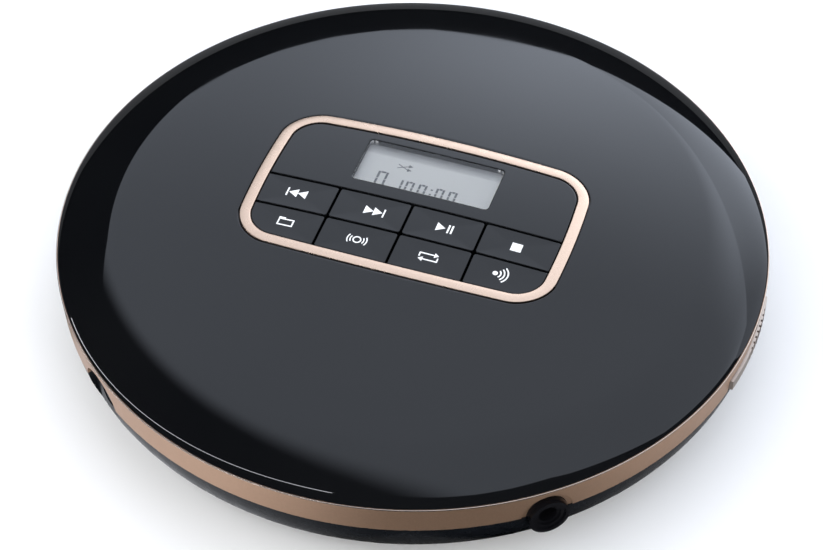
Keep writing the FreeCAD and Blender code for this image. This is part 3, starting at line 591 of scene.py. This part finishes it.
def folder_mark(x, y):
    line = 0.28
    return [bar(x - 1.6, x + 1.6, y - 1.0, y - 1.0 + line),
            bar(x - 1.6, x + 1.6, y + 0.55, y + 0.55 + line),
            bar(x - 1.6, x - 1.6 + line, y - 0.72, y + 0.55),
            bar(x + 1.6 - line, x + 1.6, y - 0.72, y + 0.55),
            bar(x - 1.6, x - 0.3, y + 0.83, y + 1.15)]


def anti_shock_mark(x, y):
    """A disc between two pairs of shake lines."""
    shapes = [bowed_line((x, y), 0.75, 0, 180, 0.26), bowed_line((x, y), 0.75, 180, 360, 0.26)]
    for reach in (1.35, 1.95):
        shapes.append(bowed_line((x, y), reach, -32, 32, 0.24))
        shapes.append(bowed_line((x, y), reach, 148, 212, 0.24))
    return shapes


def loop_mark(x, y):
    """Two arrows that run round."""
    line = 0.28
    return [bar(x - 1.7, x + 1.0, y + 0.62, y + 0.62 + line), bar(x - 1.0, x + 1.7, y - 0.9, y - 0.9 + line),
            bar(x - 1.98, x - 1.7, y - 0.2, y + 0.9), bar(x + 1.7, x + 1.98, y - 0.9, y + 0.2),
            triangle(x + 1.9, x + 1.0, y + 0.76, 0.62), triangle(x - 1.9, x - 1.0, y - 0.76, 0.62)]


def ear_mark(x, y):
    """A sound source with three waves."""
    shapes = [bowed_line((x - 1.3, y), 0.32, 0, 180, 0.4), bowed_line((x - 1.3, y), 0.32, 180, 360, 0.4)]
    for reach in (1.1, 1.8, 2.5):
        shapes.append(bowed_line((x - 1.3, y), reach, -48, 48, 0.28))
    return shapes


def key_marks():
    marks = {
        "skip_back": skip_mark(-22.3, -4.0, -1),
        "skip_forward": skip_mark(-6.8, -4.2, 1),
        "play_pause": play_pause_mark(7.7, -4.1),
        "stop": [bar(21.2, 23.3, -5.3, -3.2)],
        "folder": folder_mark(-21.9, -12.1),
        "anti_shock": anti_shock_mark(-7.2, -12.4),
        "play_mode": loop_mark(7.2, -12.4),
        "bass_boost": ear_mark(21.7, -12.0),
    }
    for label, shapes in marks.items():
        printed(label + "_mark", shapes, label + "_key", level=lambda x, y: dome(x, y) - 0.045)


key_marks()


# ---------------------------------------------------------------- display picture
def segment_digit(x, y, digit, tall=3.1, wide=1.7, line=0.36):
    """Outlines of the lit segments of one seven segment digit, from its lower left corner."""
    gap = 0.1
    half = tall / 2
    segments = {
        "a": bar(x + line + gap, x + wide - line - gap, y + tall - line, y + tall),
        "g": bar(x + line + gap, x + wide - line - gap, y + half - line / 2, y + half + line / 2),
        "d": bar(x + line + gap, x + wide - line - gap, y, y + line),
        "f": bar(x, x + line, y + half + gap, y + tall - gap),
        "b": bar(x + wide - line, x + wide, y + half + gap, y + tall - gap),
        "e": bar(x, x + line, y + gap, y + half - gap),
        "c": bar(x + wide - line, x + wide, y + gap, y + half - gap),
    }
    lit = {"0": "abcdef", "1": "bc"}[digit]
    return [segments[name] for name in lit]


def display_picture():
    """Grey display face, darkened towards the top by a painted shadow of the window's edge, with dark digits
    and an outline mark, just under the window.
    """
    level = high("lcd_module", Z)
    dark = finish("display_ink", (0.07, 0.075, 0.08), 0.5)
    vary_colour(dark, 300, (0.06, 0.065, 0.07), (0.085, 0.09, 0.095))
    face = MATERIALS["display"]
    tree = face.node_tree
    # Painted shadow: the face's colour darkens towards the window's top edge, standing in for the shade the
    # window's edge casts on the sunken display.
    place = tree.nodes.new("ShaderNodeTexCoord")
    split = tree.nodes.new("ShaderNodeSeparateXYZ")
    spread = tree.nodes.new("ShaderNodeMapRange")
    spread.inputs["From Min"].default_value = (WINDOW_HIGH - 2.6) * MM
    spread.inputs["From Max"].default_value = (WINDOW_HIGH - 0.2) * MM
    tree.links.new(place.outputs["Object"], split.inputs["Vector"])
    tree.links.new(split.outputs["Y"], spread.inputs["Value"])
    colour = ramp(face, spread.outputs["Result"], [(0.0, (0.66, 0.655, 0.64)), (0.3, (0.46, 0.455, 0.45)),
                                                    (1.0, (0.25, 0.25, 0.26))])
    tree.links.new(colour, tree.nodes["Principled BSDF"].inputs["Base Color"])
    shapes = []
    shapes += segment_digit(-9.9, 4.2, "0", tall=4.2, wide=2.1, line=0.46)
    for x, digit in ((-6.0, "1"), (-3.7, "0"), (-1.1, "0"), (2.5, "0"), (5.1, "0")):
        shapes += segment_digit(x, 4.2, digit, line=0.44)
    shapes += [bar(1.45, 1.85, 4.9, 5.3), bar(1.45, 1.85, 6.2, 6.6)]
    for y_start, y_end in ((10.2, 11.3), (11.3, 10.2)):
        shapes.append([(-6.8, y_start - 0.1), (-4.6, y_end - 0.1),
                       (-4.6, y_end + 0.1), (-6.8, y_start + 0.1)])
        shapes.append(triangle(-3.8, -4.7, y_end, 0.45))
    printed("display_digits", shapes, "lid", dark, level=lambda x, y: level)


display_picture()


# ---------------------------------------------------------------- stage
COOL = (0.90, 0.98, 1.13)
NEUTRAL = (0.96, 0.98, 1.04)
FLOOR_SHADE = 0.93
CAMERA_TURN = math.radians(18.28)


def emitter(name, corners, colour, strength=1.0, faces=None):
    """A glowing panel from corner points in metres, seen in reflections but not by the camera."""
    mesh = bpy.data.meshes.new(name)
    mesh.from_pydata(corners, [], faces or [tuple(range(len(corners)))])
    panel = bpy.data.objects.new(name, mesh)
    bpy.context.scene.collection.objects.link(panel)
    material = bpy.data.materials.new(name)
    material.use_nodes = True
    tree = material.node_tree
    tree.nodes.clear()
    out = tree.nodes.new("ShaderNodeOutputMaterial")
    light = tree.nodes.new("ShaderNodeEmission")
    light.name = "light"
    light.inputs["Color"].default_value = (*colour, 1)
    light.inputs["Strength"].default_value = strength
    tree.links.new(light.outputs["Emission"], out.inputs["Surface"])
    mesh.materials.append(material)
    panel.visible_camera = False
    return panel


class Glow:
    """Builds a panel's strength from ramps across it."""

    def __init__(self, panel):
        self.tree = panel.data.materials[0].node_tree
        self.place = self.tree.nodes.new("ShaderNodeTexCoord").outputs["Object"]

    def along(self, x, y):
        """Distance along a direction in plan, in metres."""
        node = self.tree.nodes.new("ShaderNodeVectorMath")
        node.operation = "DOT_PRODUCT"
        node.inputs[1].default_value = (x, y, 0)
        self.tree.links.new(self.place, node.inputs[0])
        return node.outputs["Value"]

    def ramp(self, source, start, end, first, last):
        node = self.tree.nodes.new("ShaderNodeMapRange")
        node.interpolation_type = "SMOOTHSTEP"
        for name, amount in (("From Min", start), ("From Max", end), ("To Min", first), ("To Max", last)):
            node.inputs[name].default_value = amount
        self.tree.links.new(source, node.inputs["Value"])
        return node.outputs["Result"]

    def join(self, operation, first, second):
        node = self.tree.nodes.new("ShaderNodeMath")
        node.operation = operation
        self.tree.links.new(first, node.inputs[0])
        self.tree.links.new(second, node.inputs[1])
        return node.outputs["Value"]

    def sum(self, first, second):
        return self.join("ADD", first, second)

    def times(self, first, second):
        return self.join("MULTIPLY", first, second)

    def shine(self, strength):
        self.tree.links.new(strength, self.tree.nodes["light"].inputs["Strength"])


def dim_in_reflections(material, share):
    """Painted shade on a floor as glossy surfaces see it: reflections show it darker than the camera does."""
    tree = material.node_tree
    shader = next(node for node in tree.nodes if node.type == "BSDF_PRINCIPLED")
    out = next(node for node in tree.nodes if node.type == "OUTPUT_MATERIAL")
    path = tree.nodes.new("ShaderNodeLightPath")
    dark = tree.nodes.new("ShaderNodeBsdfDiffuse")
    dark.inputs["Color"].default_value = (FLOOR_SHADE * share, FLOOR_SHADE * share, FLOOR_SHADE * share, 1)
    either = tree.nodes.new("ShaderNodeMixShader")
    tree.links.new(path.outputs["Is Glossy Ray"], either.inputs["Fac"])
    tree.links.new(shader.outputs["BSDF"], either.inputs[1])
    tree.links.new(dark.outputs["BSDF"], either.inputs[2])
    tree.links.new(either.outputs["Shader"], out.inputs["Surface"])


def studio():
    """Pale floor and surroundings, a softbox overhead, a wall behind, two low cards and an edge strip."""
    floor_mesh = bpy.data.meshes.new("floor")
    reach = 4.0
    floor_mesh.from_pydata([(-reach, -reach, 0), (reach, -reach, 0), (reach, reach, 0), (-reach, reach, 0)],
                           [], [(0, 1, 2, 3)])
    floor = bpy.data.objects.new("floor", floor_mesh)
    bpy.context.scene.collection.objects.link(floor)
    pale = finish("floor_pale", (FLOOR_SHADE, FLOOR_SHADE, FLOOR_SHADE), 0.6, Specular_IOR_Level=0.2)
    # Painted shade: glossy surfaces see the floor at 0.12 of its brightness.
    dim_in_reflections(pale, 0.12)
    floor_mesh.materials.append(pale)

    world = bpy.data.worlds.new("studio")
    world.use_nodes = True
    background = world.node_tree.nodes["Background"]
    background.inputs["Color"].default_value = (1.0, 1.0, 1.0, 1)
    background.inputs["Strength"].default_value = 1.9
    world.cycles_visibility.glossy = False
    bpy.context.scene.world = world

    top = 1.0
    back = 1.62
    border = [(-1.15, 0.35), (-1.15, 0.20)]
    border += bend((-0.40, -0.35), (0.18, -0.78), (0.66, -0.27))
    border += [(1.70, 0.14), (2.1, 0.8), (2.6, back)]
    border += bend((-0.50, back - 0.02), (-0.80, 1.50), (-0.90, 0.75))
    softbox = emitter("softbox", [(x, y, top) for x, y in border], COOL)
    glow = Glow(softbox)
    front = glow.ramp(glow.along(0.66, 0.75), -0.36, -0.06, 0.0, 1.06)
    rear = glow.ramp(glow.along(0.0, 1.0), 0.80, 1.62, 0.0, 1.9)
    near_side = glow.ramp(glow.along(1.0, 0.0), -0.75, -0.20, 0.28, 1.0)
    far_side = glow.ramp(glow.along(1.0, 0.0), 0.1, 1.2, 1.0, 0.3)
    glow.shine(glow.sum(front, glow.times(glow.times(rear, near_side), far_side)))
    near = back - 0.05
    wall = emitter("back_wall", [(-0.23, near, 1.01), (0.36, near, 0.22), (0.52, near, 0.0), (2.6, near, 0.0),
                                 (2.6, near, 1.01)], COOL)
    glow = Glow(wall)
    glow.shine(glow.ramp(glow.along(1.0, 0.0), 0.1, 1.4, 2.4, 0.95))
    for name, side, start, end, strength in (("left_card", -1, 0.0, 0.055, 0.75),
                                             ("right_card", 1, 0.02, 0.08, 0.5)):
        card = emitter(name, [card_corner(side * across, along) for across, along in
                              ((0.0, -0.13), (0.14, -0.13), (0.14, -0.01), (0.075, -0.01), (0.0, -0.075))],
                       NEUTRAL)
        glow = Glow(card)
        ahead = glow.along(side * math.cos(CAMERA_TURN), side * math.sin(CAMERA_TURN))
        glow.shine(glow.ramp(ahead, start, end, 0.0, strength))
        card.visible_diffuse = False
        card.visible_shadow = False
    steps = 12
    edge = [edge_place(step / steps) for step in range(steps + 1)]
    half_width = 0.6
    emitter("edge_strip",
            [towards(turn, rise + half) for turn, rise in edge for half in (half_width, -half_width)],
            NEUTRAL, 12.0,
            [(2 * step, 2 * step + 2, 2 * step + 3, 2 * step + 1) for step in range(steps)])


def bend(start, pull, end, steps=8):
    """Points of a smooth curve from start to end, drawn towards pull on the way."""
    shares = [step / steps for step in range(steps + 1)]
    return [tuple((1 - share) ** 2 * a + 2 * share * (1 - share) * b + share ** 2 * c
                  for a, b, c in zip(start, pull, end)) for share in shares]


def edge_place(share):
    """Turn and rise of the edge strip, in degrees: it climbs from the left to the front and levels out."""
    return 178.0 + 83.5 * share, 12.3 + 42.2 * math.sin(math.radians(90) * share ** 1.17)


def card_corner(across, along):
    """A point just over the floor, from its place across and along the camera's view in plan."""
    return (across * math.cos(CAMERA_TURN) - along * math.sin(CAMERA_TURN),
            across * math.sin(CAMERA_TURN) + along * math.cos(CAMERA_TURN), 0.0006)


def towards(turn, rise):
    """A point one metre from the origin, from its turn about +Z and its rise, in degrees."""
    turn, rise = math.radians(turn), math.radians(rise)
    return (math.cos(turn) * math.cos(rise), math.sin(turn) * math.cos(rise), math.sin(rise))


def camera():
    """The photographer's place: angles round and above the object, and a small roll."""
    around, above, roll = CAMERA_TURN, math.radians(45.16), math.radians(0.58)
    distance = 0.5034
    back = Vector((math.sin(around) * math.cos(above), -math.cos(around) * math.cos(above), math.sin(above)))
    right = Vector((math.cos(around), math.sin(around), 0))
    up = back.cross(right)
    tilted_right = math.cos(roll) * right + math.sin(roll) * up
    tilted_up = -math.sin(roll) * right + math.cos(roll) * up
    lens = bpy.data.cameras.new("camera")
    lens.lens = 112.1
    lens.sensor_width = 36.0
    lens.shift_x = -0.0007
    lens.shift_y = -0.0517
    lens.clip_start = 0.01
    viewer = bpy.data.objects.new("camera", lens)
    turn = Matrix((tilted_right, tilted_up, back)).transposed().to_4x4()
    place = Vector((0, 0, BAND_CREST * MM)) + back * distance
    viewer.matrix_world = Matrix.Translation(place) @ turn
    bpy.context.scene.collection.objects.link(viewer)
    bpy.context.scene.camera = viewer


studio()
camera()
bpy.context.scene.view_settings.view_transform = "Standard"
